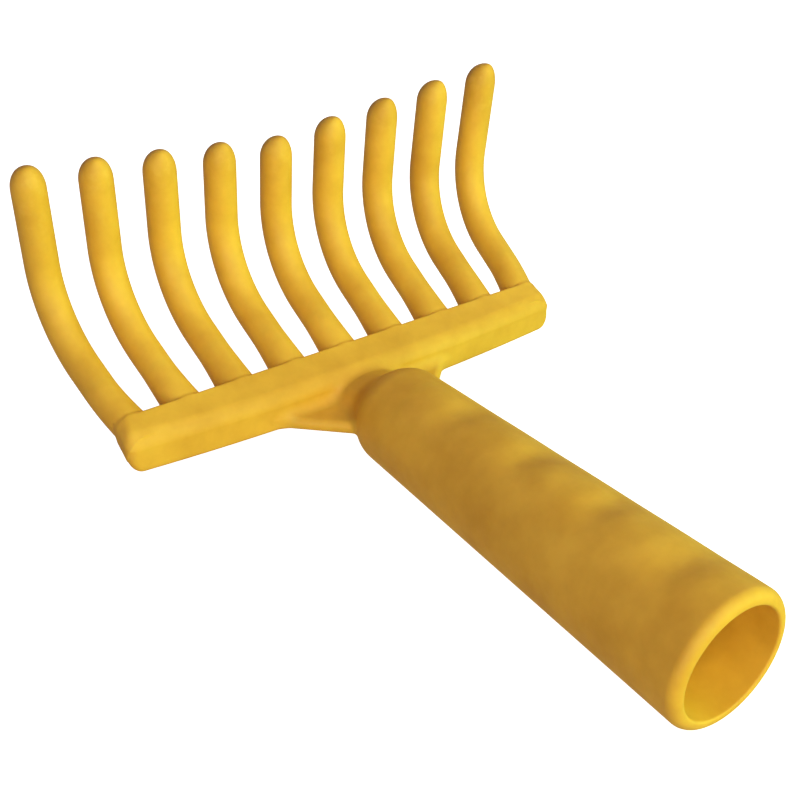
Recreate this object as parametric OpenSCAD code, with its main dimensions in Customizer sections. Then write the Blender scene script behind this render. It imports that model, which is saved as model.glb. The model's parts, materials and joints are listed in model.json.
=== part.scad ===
// Olive rake head: a moulded hand rake with curved round tines, a bowed crossbar and a hollow tapered grip.
// Millimetres. +Y runs from the socket's mouth to the tines, +Z is the side that the tines curve to,
// and the origin is on the socket's axis, where its straight wall begins.

/* [Tines] */
// Diameter of a tine
tine_d = 8.6; // [6:0.1:10]
// Distance between neighbouring tines at their roots
tine_pitch = 16; // [13:0.5:22]
// Angle at which a tine leaves the crossbar, above the grip's axis
tine_rise = 26; // [10:1:35]
// Angle of a tine's tip above the grip's axis
tine_tip_angle = 90; // [60:1:95]
// Straight length of a tine between the crossbar and its bend
tine_root_l = 20.3; // [8:0.1:30]
// Centreline radius of a tine's bend
tine_bend_r = 26.3; // [16:0.1:40]
// Straight length from the bend to the end of the middle tine
tine_tip_l = 19; // [10:0.1:30]
// Extra length of each tine over its neighbour towards the middle
tine_step = 1.9; // [0:0.05:4]
// Angle that each tine fans out from its neighbour towards the middle
tine_fan = 1.3; // [0:0.05:2.5]

/* [Crossbar] */
// Length of bar beyond the flank of each outer tine, negative where it stops short of it
bar_end = -0.3; // [-1:0.1:6]
// Depth of the top face, from the back edge to the front edge, at the bar's ends
bar_top_d = 6.9; // [5:0.1:12]
// Fall of the top face from its back edge to its front edge
bar_top_fall = 3.4; // [0.5:0.1:4]
// Height of the front face
bar_front_h = 9.9; // [8:0.1:12]
// Reach of the front face's foot ahead of its top edge
bar_front_lean = 0.7; // [0:0.1:3]
// Extra depth of the bar in the middle
bar_bow = 2.8; // [0.5:0.1:6]
// Length of the straight stretch in the middle of the bowed front
bar_flat_l = 54; // [30:1:80]
// Radius of the front edges
bar_edge_r = 1.5; // [0.8:0.1:2.5]
// Radius of the back face's corners at the bar's ends
bar_corner_r = 3; // [0.8:0.1:3.2]
// Depth of the back face below the tine roots
bar_keel = 1.2; // [0.2:0.1:3]

/* [Grip] */
// Height of the tine roots above the grip's axis
root_z = 4.65; // [2:0.05:8]
// Length of the tapered grip, from the start of the socket's wall to the neck
grip_l = 110.7; // [98:0.1:140]
// Outside diameter at the mouth
grip_mouth_d = 35.2; // [35:0.1:42]
// Outside diameter at the neck
grip_neck_d = 26.6; // [24:0.1:30]
// Radius of the rim's outer edge
rim_outer_r = 2.2; // [0.8:0.1:2.2]
// Radius of the rim's inner edge
rim_inner_r = 1; // [0.5:0.1:1]

/* [Socket] */
// Diameter of the straight wall that takes the pole
socket_d = 28.4; // [20:0.1:28.4]
// Length of the straight wall
socket_l = 30; // [20:1:36]
// Wall round the narrow end of the tapered hollow
core_wall = 2.6; // [2:0.1:5]
// Solid length between the hollow and the neck
core_end = 10; // [4:0.5:30]

/* [Finger grooves] */
// Number of finger grooves along the top of the grip
groove_n = 4; // [2:1:4]
// Place of the first groove along the grip
groove_y = 16; // [12:0.1:22]
// Distance between grooves
groove_pitch = 24.1; // [16:0.1:25]
// Depth of a groove
groove_depth = 0.8; // [0.3:0.1:1]
// Radius of a groove along the grip
groove_r = 16; // [8:0.5:30]

/* [Neck] */
// Distance from the end of the grip to the crossbar's back face
neck_l = 26.5; // [22:0.5:36]
// Radius of the shoulder where the grip closes
shoulder_r = 9; // [3:0.5:9]
// Width of the neck where it meets the crossbar
neck_w = 20; // [12:1:30]
// Diameter of the neck where it leaves the shoulder
neck_d = 17; // [12:0.5:20]

/* [Gussets] */
// Width over both gussets along the crossbar
gusset_w = 52; // [36:1:70]
// Thickness of a gusset
gusset_t = 3.6; // [2:0.1:5]
// Distance that a gusset runs from the crossbar towards the grip
gusset_reach = 13; // [5:0.5:14]
// Height of a gusset's underside above the foot of the crossbar's front
gusset_lift = 0.5; // [0.3:0.1:2]
// Drop of a gusset's grip end below the grip's axis
gusset_drop = 1.4; // [1:0.1:6]

/* [Hidden] */
$fn = 72;
tine_n = 9;
TINES = [for (i = [1:tine_n]) str("tine_", i)];
yellow = [0.91, 0.70, 0.18];
// Size of the blocks that trim a solid, larger than the whole rake
far = 400;
// Thickness of the plate that gives the hull of the bar its flat back
plate_t = 0.5;
// A tip starts this far inside its bend and is this much thinner there, so that the two join as one solid
tip_lap = 0.2;
tip_relief = 0.02;
// Facets of the round edges inside a hull
edge_fn = 24;

head_y = grip_l + neck_l;
tine_r = tine_d / 2;
middle_tine = (tine_n + 1) / 2;
tine_bend = tine_tip_angle - tine_rise;
// End of the bend and end of the middle tine, measured from its root as [along Y, along Z]
bend_end = tine_root_l * [cos(tine_rise), sin(tine_rise)]
    + tine_bend_r * [sin(tine_tip_angle) - sin(tine_rise), cos(tine_rise) - cos(tine_tip_angle)];
tip_end = bend_end + tine_tip_l * [cos(tine_tip_angle), sin(tine_tip_angle)];
// Slope of the line from root to tip, which the tines fan out along
fan_slope = atan2(tip_end[1], tip_end[0]);
// From the point inside the bar that a tine fans about to the middle of its root
fan_in = bar_top_d / 2 * [0, 1, tan(tine_rise)];

bar_l = (tine_n - 1) * tine_pitch + tine_d + 2 * bar_end;
// The slanted section of a tine's root, which the back face starts level with
root_h = tine_d / cos(tine_rise);
bar_back_h = root_h + bar_keel;
// Corners of the bar's section at its ends, as [Y, Z]
back_top = [head_y, root_z + root_h / 2];
back_foot = back_top - [0, bar_back_h];
front_top = back_top - [bar_top_d, bar_top_fall];
front_foot = front_top - [bar_front_lean, bar_front_h];
// Stations along the bowed front, closer towards the ends
bow_steps = 4;
bow_half = [for (i = [0:bow_steps]) bar_flat_l / 2 + (bar_l / 2 - bar_edge_r - bar_flat_l / 2) * i / bow_steps];

grip_neck_r = grip_neck_d / 2;
grip_mouth_r = grip_mouth_d / 2;
grip_taper = atan2(grip_mouth_r - grip_neck_r, grip_l);
socket_r = socket_d / 2;
core_y = grip_l - core_end;

// Outside radius of the grip at a place along it
function grip_r(y) = grip_mouth_r - y * tan(grip_taper);
// How far the bar's front stands ahead of its ends at a place along the bar
function bow_at(x) = bar_bow * (1 - pow(2 * x / bar_l, 2)) / (1 - pow(bar_flat_l / bar_l, 2));
function unit(v) = v / norm(v);
// Centre of the round that touches both sides of a corner
function round_centre(a, corner, b, r) =
    let (u = unit(a - corner), v = unit(b - corner), half = acos(u * v) / 2)
    corner + unit(u + v) * r / sin(half);

// Turns a shape that stands on Z so that it lies along Y
module along_y() {
    rotate([-90, 0, 0]) children();
}

// Keeps what lies ahead of the crossbar's back face
module ahead_of_bar() {
    difference() {
        children();
        translate([-far / 2, head_y - far, -far / 2]) cube(far);
    }
}

// Half section of a tine's straight tip, domed at its end
module tip_section(l) {
    r = tine_r - tip_relief;
    intersection() {
        union() {
            translate([0, -tip_lap]) square([r, l - r + tip_lap]);
            translate([0, l - r]) circle(r);
        }
        translate([0, -tip_lap]) square([r, l + tip_lap]);
    }
}

// One tine in the YZ plane, with its root at the origin and a stub that runs back into the bar
module tine_shape(tip_l) {
    rotate([tine_rise, 0, 0]) {
        translate([0, -tine_d, 0]) along_y() cylinder(r = tine_r, h = tine_d + tine_root_l);
        translate([0, tine_root_l, tine_bend_r]) {
            rotate([0, 90, 0]) rotate_extrude(angle = tine_bend) translate([tine_bend_r, 0]) circle(tine_r);
            rotate([tine_bend, 0, 0]) translate([0, 0, -tine_bend_r])
                along_y() rotate_extrude() tip_section(tip_l);
        }
    }
}

module tine(number) {
    out = number - middle_tine;
    color(yellow) ahead_of_bar()
        translate([out * tine_pitch, head_y, root_z] - fan_in)
            rotate(a = -out * tine_fan, v = [0, -sin(fan_slope), cos(fan_slope)])
                translate(fan_in) tine_shape(tine_tip_l + tine_step * abs(out));
}

// Rounds of the front edge at one corner of the section, at every station along the bow
module bar_edge(a, corner, b) {
    centre = round_centre(a, corner, b, bar_edge_r);
    for (side = [-1, 1], x = bow_half)
        translate([side * x, centre[0] - bow_at(x), centre[1]]) sphere(bar_edge_r, $fn = edge_fn);
}

module bar_shape() {
    hull() {
        for (side = [-1, 1], z = [back_foot[1] + bar_corner_r, back_top[1] - bar_corner_r])
            translate([side * (bar_l / 2 - bar_corner_r), head_y - plate_t, z])
                along_y() cylinder(r = bar_corner_r, h = plate_t, $fn = edge_fn);
        bar_edge(back_top, front_top, front_foot);
        bar_edge(front_top, front_foot, back_foot);
    }
}

module crossbar() {
    color(yellow) bar_shape();
}

// Outer half section of the grip, with the rim's outer edge rounded
module grip_section() {
    y = rim_outer_r - rim_inner_r;
    r = grip_r(y) - rim_outer_r / cos(grip_taper);
    polygon([
        [0, -rim_inner_r],
        [r, -rim_inner_r],
        [r + rim_outer_r * cos(grip_taper), y + rim_outer_r * sin(grip_taper)],
        [grip_neck_r, grip_l],
        [0, grip_l]
    ]);
    translate([r, y]) circle(rim_outer_r);
}

// Half section of the socket and of the tapered hollow beyond it, with the rim's inner edge rounded
module socket_section() {
    translate([0, -rim_inner_r]) square([socket_r, rim_inner_r]);
    square([socket_r, socket_l]);
    polygon([[0, socket_l], [socket_r, socket_l], [grip_r(core_y) - core_wall, core_y], [0, core_y]]);
    difference() {
        translate([socket_r, -rim_inner_r]) square(rim_inner_r);
        translate([socket_r + rim_inner_r, 0]) circle(rim_inner_r);
    }
}

module grip() {
    color(yellow) difference() {
        along_y() rotate_extrude() difference() {
            grip_section();
            socket_section();
        }
        for (i = [0:groove_n - 1]) {
            y = groove_y + i * groove_pitch;
            translate([0, y, grip_r(y) - groove_depth + groove_r])
                rotate([0, 90, 0]) cylinder(r = groove_r, h = grip_mouth_d, center = true);
        }
    }
}

// The closed end of the grip and the loft from it to the crossbar's front
module neck_shape() {
    flat_r = grip_neck_r - shoulder_r;
    loft_y = grip_l + shoulder_r / 2;
    translate([0, grip_l, 0]) along_y() rotate_extrude() {
        square([flat_r, shoulder_r]);
        intersection() {
            translate([flat_r, 0]) circle(shoulder_r);
            square([grip_neck_r, shoulder_r]);
        }
    }
    hull() {
        translate([0, loft_y, 0]) along_y() cylinder(d = neck_d, h = shoulder_r / 4);
        translate([-neck_w / 2, head_y - bar_top_d, front_foot[1] + bar_edge_r])
            cube([neck_w, plate_t, bar_front_h - 2 * bar_edge_r]);
    }
}

module neck() {
    color(yellow) difference() {
        neck_shape();
        bar_shape();
    }
}

// A web that fills the lower corner between the crossbar, the neck and one side of the grip
module gusset_shape() {
    r = gusset_t / 2;
    bar_side = [front_top[0] - bar_bow, front_foot[1] + gusset_lift + r];
    grip_side = [front_foot[0] - bar_bow - gusset_reach + r, -gusset_drop];
    hull() {
        for (p = [[gusset_w / 2 - r, bar_side], [neck_w / 4, bar_side],
                [grip_neck_r - r, grip_side], [neck_w / 4, grip_side]])
            translate([-p[0], p[1][0], p[1][1]]) sphere(r, $fn = edge_fn);
    }
}

module gusset() {
    difference() {
        gusset_shape();
        bar_shape();
        neck_shape();
        along_y() rotate_extrude() grip_section();
    }
}

module left_gusset() {
    color(yellow) gusset();
}

module right_gusset() {
    color(yellow) mirror([1, 0, 0]) gusset();
}

crossbar();
for (i = [1:tine_n]) {
    tine(i);
}
neck();
left_gusset();
right_gusset();
grip();
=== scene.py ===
import json
import math

import bmesh
import bpy
import numpy as np
import openvdb
from mathutils import Matrix, Quaternion, Vector


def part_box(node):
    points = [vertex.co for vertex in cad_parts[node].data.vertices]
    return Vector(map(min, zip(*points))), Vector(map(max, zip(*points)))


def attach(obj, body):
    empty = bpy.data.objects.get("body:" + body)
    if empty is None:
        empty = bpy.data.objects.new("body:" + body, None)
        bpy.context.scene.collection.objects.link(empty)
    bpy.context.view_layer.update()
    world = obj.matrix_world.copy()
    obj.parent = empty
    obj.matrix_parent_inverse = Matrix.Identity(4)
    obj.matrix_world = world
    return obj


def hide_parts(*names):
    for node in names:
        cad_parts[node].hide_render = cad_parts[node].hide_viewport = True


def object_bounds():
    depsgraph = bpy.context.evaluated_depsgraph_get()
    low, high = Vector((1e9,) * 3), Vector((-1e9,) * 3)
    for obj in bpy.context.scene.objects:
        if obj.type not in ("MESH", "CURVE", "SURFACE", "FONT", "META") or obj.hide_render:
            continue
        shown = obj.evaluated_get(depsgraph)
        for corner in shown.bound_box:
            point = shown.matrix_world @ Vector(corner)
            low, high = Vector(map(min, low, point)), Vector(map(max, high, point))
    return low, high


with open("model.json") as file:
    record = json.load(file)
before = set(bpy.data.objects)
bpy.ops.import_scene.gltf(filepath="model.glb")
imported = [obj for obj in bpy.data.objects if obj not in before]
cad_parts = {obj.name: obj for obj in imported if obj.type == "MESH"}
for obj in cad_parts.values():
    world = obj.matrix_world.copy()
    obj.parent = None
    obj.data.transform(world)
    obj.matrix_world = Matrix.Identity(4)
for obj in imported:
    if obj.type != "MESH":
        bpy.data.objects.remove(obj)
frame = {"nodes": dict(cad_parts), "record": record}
cadBox = [list(corner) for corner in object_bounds()]
mm = 0.001
scene = bpy.context.scene
print("frame loaded,", len(frame["nodes"]), "solids")

# camera, fitted to the outlines of tines, bar and grip (millimetres)
cameraView = {
    "place": (-198.35, -130.95, 202.71),
    "aim": (4.28, 117.82, 0.0),
    "roll": 3.207,
    "focal": 65.37,
    "sensor": 36.0,
    "nearest": 10.0,
}


def makeCamera():
    data = bpy.data.cameras.new("viewCamera")
    data.sensor_width = cameraView["sensor"]
    data.lens = cameraView["focal"]
    data.clip_start = cameraView["nearest"] * mm
    camera = bpy.data.objects.new("viewCamera", data)
    place = Vector(cameraView["place"])
    forward = Vector(cameraView["aim"]) - place
    roll = Quaternion((0, 0, 1), math.radians(cameraView["roll"]))
    camera.location = place * mm
    camera.rotation_euler = (forward.to_track_quat("-Z", "Y") @ roll).to_euler()
    scene.collection.objects.link(camera)
    scene.camera = camera


makeCamera()
print("camera placed")

# soft studio light: five wide lamps and a dim room, in a white sweep that only the camera sees (metres)
studio = {
    "focus": (0.0, 0.1, 0.01),
    "lamps": {
        "leftLight": {"way": (-0.69, -0.69, 0.21), "power": 3.8, "tint": (1.0, 0.82, 0.62)},
        "frontLight": {"way": (0.0, -0.71, 0.71), "power": 5.35, "tint": (1.0, 0.91, 0.45)},
        "rightLight": {"way": (0.69, -0.69, 0.21), "power": 5.4, "tint": (0.56, 1.0, 0.24)},
        "sideLight": {"way": (0.71, 0.0, 0.71), "power": 2.6, "tint": (1.0, 0.72, 0.25)},
        "lowLight": {"way": (0.0, -0.98, 0.21), "power": 2.3, "tint": (0.68, 1.0, 0.45)},
    },
    "lampDistance": 1.0,
    "lampSize": 0.8,
    "roomAbove": (0.02, 0.02, 0.26),
    "roomBelow": (0.42, 0.33, 0.22),
    "roomFade": 0.3,
    "floorRadius": 1.6,
    "wallCurve": 1.0,
    "wallHeight": 3.0,
    "curveSteps": 16,
    "sweepSides": 96,
    "sweepTint": (0.92, 0.92, 0.92),
    "sweepRoughness": 0.9,
    "sweepGlow": 1.0,
}


def addNode(tree, kind, **inputs):
    node = tree.nodes.new(kind)
    for name, value in inputs.items():
        node.inputs[name].default_value = value
    return node


def areaLight(name, look):
    data = bpy.data.lights.new(name, "AREA")
    data.shape = "DISK"
    data.size = studio["lampSize"]
    data.energy = look["power"]
    data.color = look["tint"]
    lamp = bpy.data.objects.new(name, data)
    towards = Vector(look["way"]).normalized()
    lamp.location = Vector(studio["focus"]) + towards * studio["lampDistance"]
    lamp.rotation_euler = (-towards).to_track_quat("-Z", "Y").to_euler()
    scene.collection.objects.link(lamp)


def paintRoom():
    fade = studio["roomFade"]
    world = bpy.data.worlds.new("paleRoom")
    world.use_nodes = True
    tree = world.node_tree
    place = tree.nodes.new("ShaderNodeTexCoord").outputs["Generated"]
    parts = tree.nodes.new("ShaderNodeSeparateXYZ")
    tree.links.new(place, parts.inputs[0])
    height = addNode(tree, "ShaderNodeMapRange", **{"From Min": -fade, "From Max": fade})
    tree.links.new(parts.outputs["Z"], height.inputs["Value"])
    walls = tree.nodes.new("ShaderNodeValToRGB")
    for element, tint in zip(walls.color_ramp.elements, (studio["roomBelow"], studio["roomAbove"])):
        element.color = (*tint, 1)
    tree.links.new(height.outputs["Result"], walls.inputs["Fac"])
    tree.links.new(walls.outputs["Color"], tree.nodes["Background"].inputs["Color"])
    scene.world = world


def ringFaces(rings, sides):
    # quads between rings of points, each ring closed on itself
    faces = []
    for first in range(0, (rings - 1) * sides, sides):
        for i in range(sides):
            j = (i + 1) % sides
            faces.append((first + i, first + j, first + sides + j, first + sides + i))
    return faces


def sweepMesh():
    # floor that curves up into a wall all round, burnt out to white as behind a cut-out picture
    s = studio
    low = cadBox[0][2]
    profile = []
    for turn in np.linspace(0, math.pi / 2, s["curveSteps"]):
        reach = s["floorRadius"] + s["wallCurve"] * math.sin(turn)
        profile.append((reach, low + s["wallCurve"] * (1 - math.cos(turn))))
    profile.append((s["floorRadius"] + s["wallCurve"], low + s["wallHeight"]))
    angles = np.linspace(0, 2 * math.pi, s["sweepSides"], endpoint=False)
    points = [(r * math.cos(a), r * math.sin(a), z) for r, z in profile for a in angles]
    faces = ringFaces(len(profile), s["sweepSides"])
    faces.append(tuple(range(s["sweepSides"])))
    mesh = bpy.data.meshes.new("whiteSweep")
    mesh.from_pydata(points, [], faces)
    paint = bpy.data.materials.new("sweepPaint")
    paint.use_nodes = True
    shader = paint.node_tree.nodes["Principled BSDF"]
    shader.inputs["Base Color"].default_value = (*s["sweepTint"], 1)
    shader.inputs["Roughness"].default_value = s["sweepRoughness"]
    shader.inputs["Emission Color"].default_value = (1, 1, 1, 1)
    shader.inputs["Emission Strength"].default_value = s["sweepGlow"]
    paint.cycles.emission_sampling = "NONE"
    mesh.materials.append(paint)
    return mesh


def makeStudio():
    scene.view_settings.view_transform = "Standard"
    paintRoom()
    for name, look in studio["lamps"].items():
        areaLight(name, look)
    sweep = bpy.data.objects.new("whiteSweep", sweepMesh())
    scene.collection.objects.link(sweep)
    sweep.visible_diffuse = False
    sweep.visible_glossy = False
    sweep.visible_shadow = False


makeStudio()
print("studio lit")

# golden moulded plastic, on object coordinates so that it runs on from piece to piece
plasticLook = {
    "deep": (0.71, 0.39, 0.029),
    "pale": (0.87, 0.53, 0.049),
    "scuffed": (0.87, 0.56, 0.08),
    "flow": {"Scale": 70.0, "Detail": 4.0, "Roughness": 0.6},
    "flowSpan": (0.3, 0.7),
    "smudge": {"Scale": 240.0, "Detail": 5.0, "Roughness": 0.65},
    "smudgeSpan": (0.3, 0.7),
    "patchSpan": (0.5, 0.62),
    "tipSpan": (0.038, 0.062),
    "scuffShare": 0.4,
    "roughness": (0.46, 0.6),
    "wave": {"Scale": 130.0, "Detail": 1.0, "Roughness": 0.55},
    "waveBump": {"Strength": 0.5, "Distance": 0.00028},
    "grain": {"Scale": 1400.0, "Detail": 2.0, "Roughness": 0.55},
    "grainBump": {"Strength": 0.4, "Distance": 0.00003},
    "body": {
        "IOR": 1.46,
        "Subsurface Weight": 0.15,
        "Subsurface Radius": (1.0, 0.45, 0.08),
        "Subsurface Scale": 0.0025,
    },
}


def rampBetween(tree, source, span, colours):
    ramp = tree.nodes.new("ShaderNodeValToRGB")
    for element, place, colour in zip(ramp.color_ramp.elements, span, colours):
        element.position = place
        element.color = (*colour, 1)
    tree.links.new(source, ramp.inputs["Fac"])
    return ramp.outputs["Color"]


def mapped(tree, source, span, target):
    ends = ("From Min", "From Max", "To Min", "To Max")
    node = addNode(tree, "ShaderNodeMapRange", **dict(zip(ends, (*span, *target))))
    tree.links.new(source, node.inputs["Value"])
    return node.outputs["Result"]


def noiseOn(tree, coordinates, recipe):
    node = addNode(tree, "ShaderNodeTexNoise", **recipe)
    tree.links.new(coordinates, node.inputs["Vector"])
    return node.outputs["Fac"]


def multiplied(tree, a, b):
    node = tree.nodes.new("ShaderNodeMath")
    node.operation = "MULTIPLY"
    tree.links.new(a, node.inputs[0])
    tree.links.new(b, node.inputs[1])
    return node.outputs[0]


def goldenPlastic():
    look = plasticLook
    material = bpy.data.materials.new("goldenPlastic")
    material.use_nodes = True
    tree = material.node_tree
    shader = tree.nodes["Principled BSDF"]
    place = tree.nodes.new("ShaderNodeTexCoord").outputs["Object"]
    parts = tree.nodes.new("ShaderNodeSeparateXYZ")
    tree.links.new(place, parts.inputs[0])

    # slow drifts of colour where the melt flowed
    flow = noiseOn(tree, place, look["flow"])
    colour = rampBetween(tree, flow, look["flowSpan"], (look["deep"], look["pale"]))
    # scuffs where the tips run through twigs
    smudge = noiseOn(tree, place, look["smudge"])
    tips = mapped(tree, parts.outputs["Z"], look["tipSpan"], (0.0, look["scuffShare"]))
    patches = mapped(tree, smudge, look["patchSpan"], (0.0, 1.0))
    scuff = multiplied(tree, tips, patches)
    worn = tree.nodes.new("ShaderNodeMix")
    worn.data_type = "RGBA"
    worn.inputs["B"].default_value = (*look["scuffed"], 1)
    tree.links.new(scuff, worn.inputs["Factor"])
    tree.links.new(colour, worn.inputs["A"])
    tree.links.new(worn.outputs["Result"], shader.inputs["Base Color"])
    roughness = mapped(tree, smudge, look["smudgeSpan"], look["roughness"])
    tree.links.new(roughness, shader.inputs["Roughness"])

    # shallow waves of the mould with a fine grain over them
    wave = addNode(tree, "ShaderNodeBump", **look["waveBump"])
    tree.links.new(noiseOn(tree, place, look["wave"]), wave.inputs["Height"])
    grain = addNode(tree, "ShaderNodeBump", **look["grainBump"])
    tree.links.new(noiseOn(tree, place, look["grain"]), grain.inputs["Height"])
    tree.links.new(wave.outputs["Normal"], grain.inputs["Normal"])
    tree.links.new(grain.outputs["Normal"], shader.inputs["Normal"])

    for name, value in look["body"].items():
        shader.inputs[name].default_value = value
    return material


plastic = goldenPlastic()
print("plastic mixed")


def dress(piece, *nodes):
    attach(piece, "root")
    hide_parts(*nodes)


def placePiece(name, mesh):
    piece = bpy.data.objects.new(name, mesh)
    mesh.materials.append(plastic)
    scene.collection.objects.link(piece)
    return piece


# tines: sizes in millimetres and degrees, as the solids have them but for the longer, slanted dome
tineLook = {
    "count": 9,
    "pitch": 16.0,
    "radius": 4.3,
    "rise": 26.0,
    "tipAngle": 90.0,
    "rootLength": 20.3,
    "bendRadius": 26.3,
    "tipLength": 19.0,
    "step": 1.9,
    "fan": 1.3,
    "pivotDepth": 3.45,
    "rootHeight": 4.65,
    "stub": 13.5,
    "domeLength": 6.4,
    "tipLean": 1.6,
    "tipAside": 0.12,
    "shaftRings": 110,
    "domeRings": 18,
    "sides": 48,
}
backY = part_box("crossbar")[1].y / mm
middleTine = (tineLook["count"] + 1) // 2


def tineEnd():
    t = tineLook
    rise, tip = math.radians(t["rise"]), math.radians(t["tipAngle"])
    along = t["rootLength"] * math.cos(rise) + t["bendRadius"] * (math.sin(tip) - math.sin(rise))
    height = t["rootLength"] * math.sin(rise) + t["bendRadius"] * (math.cos(rise) - math.cos(tip))
    return along + t["tipLength"] * math.cos(tip), height + t["tipLength"] * math.sin(tip)


def tinePlacing(out):
    # turns a flat tine about a point inside the bar and sets it at its place along the bar
    t = tineLook
    along, height = tineEnd()
    slope = math.atan2(height, along)
    pivot = t["pivotDepth"] * Vector((0, 1, math.tan(math.radians(t["rise"]))))
    turn = Matrix.Rotation(math.radians(-out * t["fan"]), 4, Vector((0, -math.sin(slope), math.cos(slope))))
    root = Vector((out * t["pitch"], backY, t["rootHeight"]))
    return Matrix.Translation(root - pivot) @ turn @ Matrix.Translation(pivot)


def tineRoot(out):
    # middle of a tine's root on the bar's back, and the way that the tine runs from there
    placing = tinePlacing(out)
    rise = math.radians(tineLook["rise"])
    return placing @ Vector((0, 0, 0)), placing.to_3x3() @ Vector((0, math.cos(rise), math.sin(rise)))


def fieldMaths(tree):
    # gives a shorthand for math nodes in a tree
    def op(operation, *values):
        node = tree.nodes.new("ShaderNodeMath")
        node.operation = operation
        for socket, value in zip(node.inputs, values):
            if isinstance(value, (int, float)):
                socket.default_value = value
            else:
                tree.links.new(value, socket)
        return node.outputs[0]

    return op


def tineTree():
    tree = bpy.data.node_groups.new("roundTine", "GeometryNodeTree")
    names = ["Start", "Length", "Root Length", "Bend Radius", "Rise", "Bend", "Radius",
             "Dome Length", "Tip Lean", "Tip Aside", "Shaft Rings", "Dome Rings", "Sides"]
    for name in names:
        kind = "NodeSocketInt" if name in ("Shaft Rings", "Dome Rings", "Sides") else "NodeSocketFloat"
        tree.interface.new_socket(name, in_out="INPUT", socket_type=kind)
    tree.interface.new_socket("Geometry", in_out="OUTPUT", socket_type="NodeSocketGeometry")
    given = tree.nodes.new("NodeGroupInput").outputs
    op = fieldMaths(tree)
    index = tree.nodes.new("GeometryNodeInputIndex").outputs[0]

    # length along the tine of each ring: even steps up the shaft, then round the dome
    shaftEnd = op("SUBTRACT", given["Length"], given["Dome Length"])
    share = op("MINIMUM", op("DIVIDE", index, given["Shaft Rings"]), 1.0)
    shaft = op("ADD", given["Start"], op("MULTIPLY", share, op("SUBTRACT", shaftEnd, given["Start"])))
    past = op("MAXIMUM", op("SUBTRACT", index, given["Shaft Rings"]), 0.0)
    polar = op("MULTIPLY", op("DIVIDE", past, given["Dome Rings"]), math.pi / 2)
    along = op("ADD", shaft, op("MULTIPLY", given["Dome Length"], op("SINE", polar)))

    # straight root, round bend, straight tip
    pastRoot = op("SUBTRACT", along, given["Root Length"])
    turned = op("MINIMUM", op("MAXIMUM", op("DIVIDE", pastRoot, given["Bend Radius"]), 0.0), given["Bend"])
    rootRun = op("MINIMUM", along, given["Root Length"])
    tipRun = op("MAXIMUM", op("SUBTRACT", pastRoot, op("MULTIPLY", given["Bend Radius"], given["Bend"])), 0.0)
    heading = op("ADD", given["Rise"], turned)
    tipHeading = op("ADD", given["Rise"], given["Bend"])
    bendY = op("SUBTRACT", op("SINE", heading), op("SINE", given["Rise"]))
    bendZ = op("SUBTRACT", op("COSINE", given["Rise"]), op("COSINE", heading))
    y = op("MULTIPLY", rootRun, op("COSINE", given["Rise"]))
    y = op("ADD", y, op("MULTIPLY", given["Bend Radius"], bendY))
    y = op("ADD", y, op("MULTIPLY", tipRun, op("COSINE", tipHeading)))
    z = op("MULTIPLY", rootRun, op("SINE", given["Rise"]))
    z = op("ADD", z, op("MULTIPLY", given["Bend Radius"], bendZ))
    z = op("ADD", z, op("MULTIPLY", tipRun, op("SINE", tipHeading)))
    radius = op("MULTIPLY", given["Radius"], op("COSINE", polar))

    link = tree.links.new
    # the dome slants: its peak lies nearer the front, and nearer the outside on an outer tine
    peak = op("SUBTRACT", 1.0, op("COSINE", polar))
    lean = op("MULTIPLY", peak, given["Tip Lean"])
    slant = tree.nodes.new("ShaderNodeCombineXYZ")
    link(op("MULTIPLY", peak, given["Tip Aside"]), slant.inputs["X"])
    link(op("MULTIPLY", lean, op("MULTIPLY", op("SINE", tipHeading), -1.0)), slant.inputs["Y"])
    link(op("MULTIPLY", lean, op("COSINE", tipHeading)), slant.inputs["Z"])

    # rings along the route, swept into a skin
    line = tree.nodes.new("GeometryNodeCurvePrimitiveLine")
    rings = tree.nodes.new("GeometryNodeResampleCurve")
    rings.mode = "COUNT"
    link(op("ADD", op("ADD", given["Shaft Rings"], given["Dome Rings"]), 1.0), rings.inputs["Count"])
    link(line.outputs["Curve"], rings.inputs["Curve"])
    spot = tree.nodes.new("ShaderNodeCombineXYZ")
    link(y, spot.inputs["Y"])
    link(z, spot.inputs["Z"])
    route = tree.nodes.new("GeometryNodeSetPosition")
    link(rings.outputs["Curve"], route.inputs["Geometry"])
    link(spot.outputs["Vector"], route.inputs["Position"])
    sized = tree.nodes.new("GeometryNodeSetCurveRadius")
    link(route.outputs["Geometry"], sized.inputs["Curve"])
    link(radius, sized.inputs["Radius"])
    marked = tree.nodes.new("GeometryNodeCaptureAttribute")
    marked.capture_items.new("VECTOR", "Slant")
    link(sized.outputs["Curve"], marked.inputs["Geometry"])
    link(slant.outputs["Vector"], marked.inputs["Slant"])
    circle = tree.nodes.new("GeometryNodeCurvePrimitiveCircle")
    circle.inputs["Radius"].default_value = 1.0
    link(given["Sides"], circle.inputs["Resolution"])
    sweep = addNode(tree, "GeometryNodeCurveToMesh", **{"Fill Caps": True})
    link(marked.outputs["Geometry"], sweep.inputs["Curve"])
    link(circle.outputs["Curve"], sweep.inputs["Profile Curve"])
    link(tree.nodes.new("GeometryNodeInputRadius").outputs["Radius"], sweep.inputs["Scale"])
    leaned = tree.nodes.new("GeometryNodeSetPosition")
    link(sweep.outputs["Mesh"], leaned.inputs["Geometry"])
    link(marked.outputs["Slant"], leaned.inputs["Offset"])
    realize = tree.nodes.new("GeometryNodeRealizeInstances")
    link(leaned.outputs["Geometry"], realize.inputs["Geometry"])
    finish = tree.nodes.new("GeometryNodeSetMaterial")
    finish.inputs["Material"].default_value = plastic
    link(realize.outputs["Geometry"], finish.inputs["Geometry"])
    link(finish.outputs["Geometry"], tree.nodes.new("NodeGroupOutput").inputs["Geometry"])
    return tree


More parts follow.
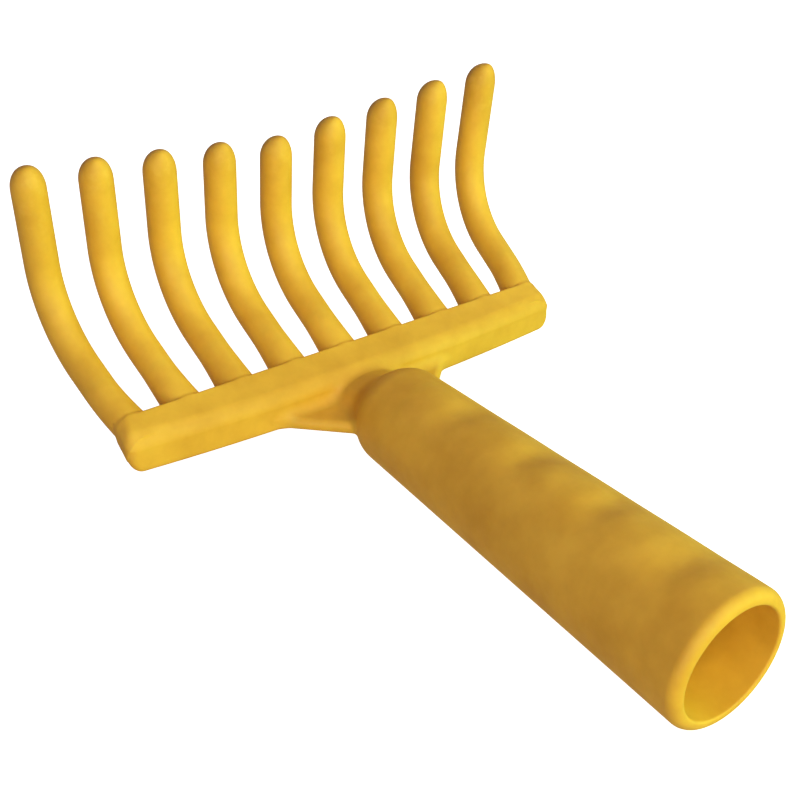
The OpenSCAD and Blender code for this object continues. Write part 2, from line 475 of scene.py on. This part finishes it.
# joins of a finished mesh, in metres and degrees
meshCare = {
    "weld": 1e-6,
    "sliver": 1e-7,
    "crease": 40.0,
}


def tidyMesh(mesh):
    # one closed skin, faces outwards, crisp only at real edges
    bm = bmesh.new()
    bm.from_mesh(mesh)
    bmesh.ops.remove_doubles(bm, verts=bm.verts, dist=meshCare["weld"])
    bmesh.ops.dissolve_degenerate(bm, edges=bm.edges, dist=meshCare["sliver"])
    bmesh.ops.recalc_face_normals(bm, faces=bm.faces)
    bm.to_mesh(mesh)
    bm.free()
    mesh.shade_smooth()
    mesh.set_sharp_from_angle(angle=math.radians(meshCare["crease"]))


def makeTines():
    t = tineLook
    tree = tineTree()
    sockets = {item.name: item.identifier for item in tree.interface.items_tree if item.in_out == "INPUT"}
    bend = math.radians(t["tipAngle"] - t["rise"])
    for number in range(1, t["count"] + 1):
        out = number - middleTine
        length = t["rootLength"] + t["bendRadius"] * bend + t["tipLength"] + t["step"] * abs(out)
        sizes = {
            "Start": t["stub"] * mm,
            "Length": length * mm,
            "Root Length": t["rootLength"] * mm,
            "Bend Radius": t["bendRadius"] * mm,
            "Rise": math.radians(t["rise"]),
            "Bend": bend,
            "Radius": t["radius"] * mm,
            "Dome Length": t["domeLength"] * mm,
            "Tip Lean": t["tipLean"] * mm,
            "Tip Aside": t["tipAside"] * out * mm,
            "Shaft Rings": t["shaftRings"],
            "Dome Rings": t["domeRings"],
            "Sides": t["sides"],
        }
        piece = bpy.data.objects.new(f"roundTine{number}", bpy.data.meshes.new("seed"))
        scene.collection.objects.link(piece)
        sweep = piece.modifiers.new("roundTine", "NODES")
        sweep.node_group = tree
        for name, value in sizes.items():
            sweep[sockets[name]] = value
        evaluated = piece.evaluated_get(bpy.context.evaluated_depsgraph_get())
        mesh = bpy.data.meshes.new_from_object(evaluated)
        piece.modifiers.remove(sweep)
        placing = tinePlacing(out)
        placing.translation *= mm
        mesh.transform(placing)
        tidyMesh(mesh)
        piece.data = mesh
        dress(piece, f"tine_{number}")


makeTines()
print("tines swept")

# head: bar, tine stubs, domed neck and webs as one blended skin, cut into its members (millimetres)
headLook = {
    "voxel": 0.4,
    "margin": 3.0,
    "stubMargin": 8.0,
    "endMargin": 1.0,
    "freeMargin": 1.5,
    "drawSteps": 4,
    "slopeStep": 0.02,
    "cutGap": 1e-5,
    "topDepth": 6.9,
    "topFall": 3.4,
    "topLip": 0.05,
    "frontHeight": 9.9,
    "frontLean": 0.7,
    "keel": 0.2,
    "bow": 2.8,
    "flat": 54.0,
    "edge": 3.0,
    "footEdge": 1.8,
    "backEdge": 0.7,
    "endTop": 2.8,
    "endFoot": 4.0,
    "endDraft": 0.16,
    "stubFlare": 1.2,
    "flarePower": 0.65,
    "stubShift": 0.6,
    "shiftBeyond": 2,
    "stubDip": 0.2,
    "stubOver": 3.0,
    "stubInside": 5.0,
    "stubFillet": 2.2,
    "stubCrease": 0.6,
    "creaseStart": 0.35,
    "creaseRun": 0.45,
    "shoulder": 9.0,
    "loftWidth": (17.0, 20.0),
    "loftInside": 2.0,
    "loftFillet": 3.0,
    "webHalfWidth": 26.0,
    "webThickness": 3.6,
    "webRound": 0.95,
    "webInside": 6.0,
    "webReach": 13.0,
    "webDrop": 1.4,
    "webLift": 0.5,
    "webFillet": 2.8,
    "neckFillet": 2.0,
    "underFillet": 0.8,
    "neckCut": 8.0,
    "barCut": 1.4,
    "webCut": 10.2,
    "webSlant": 0.25,
}
gripLook = {
    "mouthDiameter": 35.18,
    "neckDiameter": 26.6,
    "rimEnd": 1.0,
    "rimOuter": 2.7,
    "rimInner": 0.6,
    "coreWall": 2.6,
    "coreEnd": 10.0,
    "grooves": 4,
    "grooveStart": 16.0,
    "groovePitch": 24.1,
    "grooveDepth": 0.9,
    "grooveReach": 5.0,
    "grooveSpread": 46.0,
    "groovePower": 1.5,
    "rimStep": 0.6,
    "outsideRows": 120,
    "rimRows": 12,
    "lipRows": 8,
    "boreRows": 20,
    "coreRows": 30,
    "sides": 160,
}
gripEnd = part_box("grip")[1].y / mm
gripTaper = math.atan((gripLook["mouthDiameter"] - gripLook["neckDiameter"]) / 2 / gripEnd)


def gripRadius(y):
    half = gripLook["mouthDiameter"] / 2
    return half - (half - gripLook["neckDiameter"] / 2) * y / gripEnd


def roundMax(a, b, radius):
    # both at once, with a rounded edge
    corner = np.hypot(np.maximum(a + radius, 0), np.maximum(b + radius, 0))
    return np.minimum(-radius, np.maximum(a, b)) + corner


def roundMin(a, b, radius):
    # either of the two, with a hollow fillet
    corner = np.hypot(np.maximum(radius - a, 0), np.maximum(radius - b, 0))
    return np.maximum(radius, np.minimum(a, b)) - corner


def blend(low, high, share):
    return low + (high - low) * share


def barCorners():
    # the bar's section at its ends, as pairs of y and z
    h = headLook
    rootHalf = tineLook["radius"] / math.cos(math.radians(tineLook["rise"]))
    backTop = np.array([backY, tineLook["rootHeight"] + rootHalf])
    frontTop = backTop - [h["topDepth"], h["topFall"]]
    frontFoot = frontTop - [h["frontLean"], h["frontHeight"]]
    backFoot = backTop - [0, 2 * rootHalf + h["keel"]]
    return backTop + [0, h["topLip"]], frontTop, frontFoot, backFoot


barLength = (tineLook["count"] - 1) * tineLook["pitch"] + 2 * tineLook["radius"]


def bowAt(x):
    # how far the bar's front bulges, least at the ends and even along the middle
    flat = headLook["flat"] / barLength
    across = np.maximum(np.abs(2 * x / barLength), flat)
    return headLook["bow"] * (1 - across ** 2) / (1 - flat ** 2)


def sideOf(start, end, y, z):
    # distance outside the line from start to end, in the bar's section
    dy = end[0] - start[0]
    dz = end[1] - start[1]
    return ((y - start[0]) * dz - (z - start[1]) * dy) / np.hypot(dy, dz)


def barDistance(x, y, z):
    h = headLook
    backTop, frontTop, frontFoot, backFoot = barCorners()
    bow = bowAt(x)
    frontTop = (frontTop[0] - bow, frontTop[1])
    frontFoot = (frontFoot[0] - bow, frontFoot[1])
    top = sideOf(backTop, frontTop, y, z)
    front = sideOf(frontTop, frontFoot, y, z)
    under = sideOf(frontFoot, backFoot, y, z)
    back = y - backY
    # the ends draw in towards the outer tines' roots and are nearly half round below
    end = np.abs(x) - barLength / 2 + h["endDraft"] * (y - frontTop[0])
    ends = roundMax(roundMax(top, end, h["endTop"]), under, h["endFoot"])
    lift = np.clip((z - frontFoot[1]) / h["frontHeight"], 0, 1)
    section = roundMax(ends, front, blend(h["footEdge"], h["edge"], lift))
    return roundMax(section, back, h["backEdge"])


def stubDistance(x, y, z):
    # distance to the nearest tine's root, and how far up its top side a point lies
    t = tineLook
    h = headLook
    outermost = t["count"] - middleTine
    roots, ways = zip(*(tineRoot(out) for out in range(outermost + 1)))
    nearest = np.clip(np.round(np.abs(x) / t["pitch"]), 0, outermost).astype(int)
    root = np.array(roots)[nearest]
    way = np.array(ways)[nearest]
    offset = np.stack([np.abs(x), y, z], -1) - root
    along = (offset * way).sum(-1)
    offset -= along[..., None] * way
    # towards the bar a root widens between the tines and dips below the bar's top, and an outer one draws in
    near = np.clip(1 - along / t["stub"], 0, 1) ** 2
    offset[..., 0] += h["stubShift"] * np.maximum(nearest - h["shiftBeyond"], 0) * near
    between = (offset[..., 0] < 0) | (nearest < outermost)
    offset[..., 0] /= 1 + h["stubFlare"] / t["radius"] * near ** h["flarePower"] * between
    upper = offset[..., 2] / t["radius"]
    offset[..., 2] += h["stubDip"] * near
    stub = np.linalg.norm(offset, axis=-1) - t["radius"]
    past = np.maximum(along - t["stub"] - h["stubOver"], -along - h["stubInside"])
    return np.maximum(stub, past), upper


def neckDistance(x, y, z):
    # rounded end of the grip and the loft from it to the bar
    h = headLook
    side = (np.hypot(x, z) - gripRadius(y)) * math.cos(gripTaper)
    dome = roundMax(side, y - gripEnd - h["shoulder"], h["shoulder"])
    frontTop, frontFoot = barCorners()[1:3]
    startY = gripEnd + h["shoulder"] / 2
    endY = frontTop[0]
    share = np.clip((y - startY) / (endY - startY), 0, 1)
    halfWidth = blend(*h["loftWidth"], share) / 2
    endHalf = h["frontHeight"] / 2 - h["footEdge"]
    halfHeight = blend(h["loftWidth"][0] / 2, endHalf, share)
    middle = share * (frontFoot[1] + h["footEdge"] + endHalf)
    loft = (np.hypot(x / halfWidth, (z - middle) / halfHeight) - 1) * np.minimum(halfWidth, halfHeight)
    loft = np.maximum(loft, np.maximum(startY - h["shoulder"] - y, y - endY - h["loftInside"]))
    return roundMin(dome, loft, h["loftFillet"])


def webDistance(x, y, z):
    # distance to the thin plate in the corner beside the neck, and the height above its middle
    h = headLook
    thick = h["webThickness"] / 2
    frontTop, frontFoot = barCorners()[1:3]
    reachY = frontFoot[0] - h["bow"] - h["webReach"] + thick
    barSide = (h["webHalfWidth"] - thick, frontTop[0] - h["bow"], frontFoot[1] + h["webLift"] + thick)
    gripSide = (gripRadius(gripEnd) - thick, reachY, -h["webDrop"])
    run = np.hypot(barSide[0] - gripSide[0], barSide[1] - gripSide[1])
    outward = ((np.abs(x) - barSide[0]) * (barSide[1] - gripSide[1])
               - (y - barSide[1]) * (barSide[0] - gripSide[0])) / run - thick
    share = np.clip((barSide[1] - y) / (barSide[1] - gripSide[1]), 0, 1)
    height = z - barSide[2] - (gripSide[2] - barSide[2]) * share
    plate = roundMax(np.abs(height) - thick, outward, thick * h["webRound"])
    past = np.maximum(y - barSide[1] - thick, gripSide[1] - h["webInside"] - y)
    return np.maximum(plate, past), height


def headDistance(x, y, z):
    h = headLook
    stub, upper = stubDistance(x, y, z)
    crease = np.clip((upper - h["creaseStart"]) / h["creaseRun"], 0, 1)
    bar = roundMin(barDistance(x, y, z), stub, blend(h["stubFillet"], h["stubCrease"], crease))
    # wide hollows above the webs, tight ones below
    web, height = webDistance(x, y, z)
    lift = np.clip(height / h["webThickness"] + 0.5, 0, 1)
    bar = roundMin(bar, web, blend(h["underFillet"], h["webFillet"], lift))
    return roundMin(bar, neckDistance(x, y, z), blend(h["underFillet"], h["neckFillet"], lift))


def headSlope(points):
    step = headLook["slopeStep"]
    slope = np.empty_like(points)
    for axis in range(3):
        shift = np.zeros(3)
        shift[axis] = step
        slope[:, axis] = headDistance(*(points + shift).T) - headDistance(*(points - shift).T)
    return slope / (2 * step)


def headSkin():
    # skin of the blended shape, drawn on to it exactly after the grid gives a first mesh
    h = headLook
    halfX = barLength / 2 + h["margin"]
    halfZ = gripLook["neckDiameter"] / 2 + h["margin"]
    low = np.array([-halfX, gripEnd - h["neckCut"] - h["margin"], -halfZ])
    high = np.array([halfX, backY + tineLook["stub"] + h["stubMargin"], halfZ])
    axes = [np.arange(a, b, h["voxel"]) for a, b in zip(low, high)]
    x, y, z = np.meshgrid(*axes, indexing="ij")
    grid = openvdb.FloatGrid()
    block = np.maximum(headDistance(x, y, z), low[1] + h["endMargin"] - y)
    grid.copyFromArray(block.astype(np.float32))
    points, quads = grid.convertToQuads(0.0)
    points = low + points.astype(float) * h["voxel"]
    free = points[:, 1] > low[1] + h["freeMargin"]
    for step in range(h["drawSteps"]):
        slope = headSlope(points[free])
        gap = headDistance(*points[free].T)
        points[free] -= slope * (gap / (slope ** 2).sum(1))[:, None]
    return points, quads


def cutAway(bm, capLayer, place, normal, faces=None):
    # takes off what lies on the normal's side and closes the cut with a flat cap
    faces = bm.faces[:] if faces is None else faces
    edges = list({edge for face in faces for edge in face.edges})
    verts = list({vert for face in faces for vert in face.verts})
    cut = bmesh.ops.bisect_plane(bm, geom=verts + edges + faces, dist=headLook["cutGap"],
                                 plane_co=place, plane_no=normal, clear_outer=True)
    rim = [item for item in cut["geom_cut"] if isinstance(item, bmesh.types.BMEdge) and item.is_boundary]
    for face in bmesh.ops.edgeloop_fill(bm, edges=rim)["faces"]:
        face[capLayer] = 1


def memberMesh(name, bm):
    # plain mesh in metres whose normals follow the whole skin, so that no seam shows between members
    mesh = bpy.data.meshes.new(name)
    bmesh.ops.recalc_face_normals(bm, faces=bm.faces)
    bm.to_mesh(mesh)
    points = np.array([vert.co for vert in bm.verts])
    slope = headSlope(points)
    normals = slope / np.linalg.norm(slope, axis=1)[:, None]
    caps = mesh.attributes["cap"].data
    corners = []
    for face in mesh.polygons:
        for vertex in face.vertices:
            corners.append(tuple(face.normal) if caps[face.index].value else tuple(normals[vertex]))
    mesh.transform(Matrix.Scale(mm, 4))
    mesh.shade_smooth()
    mesh.normals_split_custom_set(corners)
    mesh.attributes.remove(mesh.attributes["cap"])
    return mesh


def makeHead():
    h = headLook
    points, quads = headSkin()
    whole = bmesh.new()
    capLayer = whole.faces.layers.int.new("cap")
    verts = [whole.verts.new(point) for point in points]
    for quad in quads:
        whole.faces.new([verts[i] for i in quad])
    cutAway(whole, capLayer, (0, gripEnd - h["neckCut"], 0), (0, -1, 0))
    for number in range(1, tineLook["count"] + 1):
        root, way = tineRoot(number - middleTine)
        place = root + way * tineLook["stub"]
        reach = tineLook["pitch"] / 2
        near = [face for face in whole.faces if (face.calc_center_median() - place).length < reach]
        cutAway(whole, capLayer, place, way, near)
    frontY = barCorners()[2][0] - h["bow"] - h["barCut"]
    slant = Vector((1, h["webSlant"], 0)).normalized()
    corner = Vector((h["webCut"], frontY, 0))
    mirrored = Matrix.Scale(-1, 3, Vector((1, 0, 0)))
    # each member's node and the cuts that part it from the whole
    front = (0, frontY, 0)
    leftCorner = mirrored @ corner
    members = {
        "bowedBar": ("crossbar", [(front, (0, -1, 0))]),
        "domedNeck": ("neck", [(front, (0, 1, 0)), (corner, slant), (leftCorner, mirrored @ slant)]),
        "rightWeb": ("right_gusset", [(front, (0, 1, 0)), (corner, -slant)]),
        "leftWeb": ("left_gusset", [(front, (0, 1, 0)), (leftCorner, mirrored @ -slant)]),
    }
    for name, (node, cuts) in members.items():
        bm = whole.copy()
        layer = bm.faces.layers.int["cap"]
        for place, normal in cuts:
            cutAway(bm, layer, place, normal)
        dress(placePiece(name, memberMesh(name, bm)), node)
        bm.free()
    whole.free()


makeHead()
print("head blended and cut into bar, neck and webs")


def grooveDip(y, angle):
    # soft finger grooves along the top, fading out round the grip
    g = gripLook
    spread = np.clip(angle / math.radians(g["grooveSpread"]), -1, 1)
    window = np.cos(spread * math.pi / 2) ** g["groovePower"]
    wave = 0.0
    for i in range(g["grooves"]):
        wave = wave + math.exp(-((y - g["grooveStart"] - i * g["groovePitch"]) / g["grooveReach"]) ** 2)
    return g["grooveDepth"] * wave * window


def gripProfile():
    # outline from the neck end along the outside, round the rim and back down the bore
    g = gripLook
    bore = frame["record"]["mounts"][0]["dims"]
    rimY = g["rimOuter"] - g["rimEnd"]
    rimR = gripRadius(rimY) - g["rimOuter"] / math.cos(gripTaper)
    startY = gripEnd - headLook["neckCut"]
    outline = [(y, gripRadius(y)) for y in np.linspace(startY, rimY + g["rimStep"], g["outsideRows"])]
    for turn in np.linspace(gripTaper, -math.pi / 2, g["rimRows"]):
        outline.append((rimY + g["rimOuter"] * math.sin(turn), rimR + g["rimOuter"] * math.cos(turn)))
    outside = len(outline)
    innerY = g["rimInner"] - g["rimEnd"]
    for turn in np.linspace(0, math.pi / 2, g["lipRows"]):
        radius = bore["r_mm"] + g["rimInner"] * (1 - math.sin(turn))
        outline.append((innerY - g["rimInner"] * math.cos(turn), radius))
    outline += [(y, bore["r_mm"]) for y in np.linspace(innerY, bore["length_mm"], g["boreRows"])[1:]]
    coreY = gripEnd - g["coreEnd"]
    coreR = gripRadius(coreY) - g["coreWall"]
    for share in np.linspace(0, 1, g["coreRows"])[1:]:
        outline.append((blend(bore["length_mm"], coreY, share), blend(bore["r_mm"], coreR, share)))
    return outline, outside


def makeGrip():
    g = gripLook
    outline, outside = gripProfile()
    angles = np.linspace(-math.pi, math.pi, g["sides"], endpoint=False)
    points = []
    for row, (y, radius) in enumerate(outline):
        reach = radius - grooveDip(y, angles) if row < outside else np.full(g["sides"], radius)
        points += [(r * math.sin(a), y, r * math.cos(a)) for r, a in zip(reach, angles)]
    faces = ringFaces(len(outline), g["sides"])
    for ring, y in ((0, outline[0][0]), (len(outline) - 1, outline[-1][0])):
        points.append((0, y, 0))
        for i in range(g["sides"]):
            first = ring * g["sides"]
            faces.append((first + i, first + (i + 1) % g["sides"], len(points) - 1))
    mesh = bpy.data.meshes.new("hollowGrip")
    mesh.from_pydata([tuple(mm * value for value in point) for point in points], [], faces)
    tidyMesh(mesh)
    dress(placePiece("hollowGrip", mesh), "grip")


makeGrip()
print("grip turned")
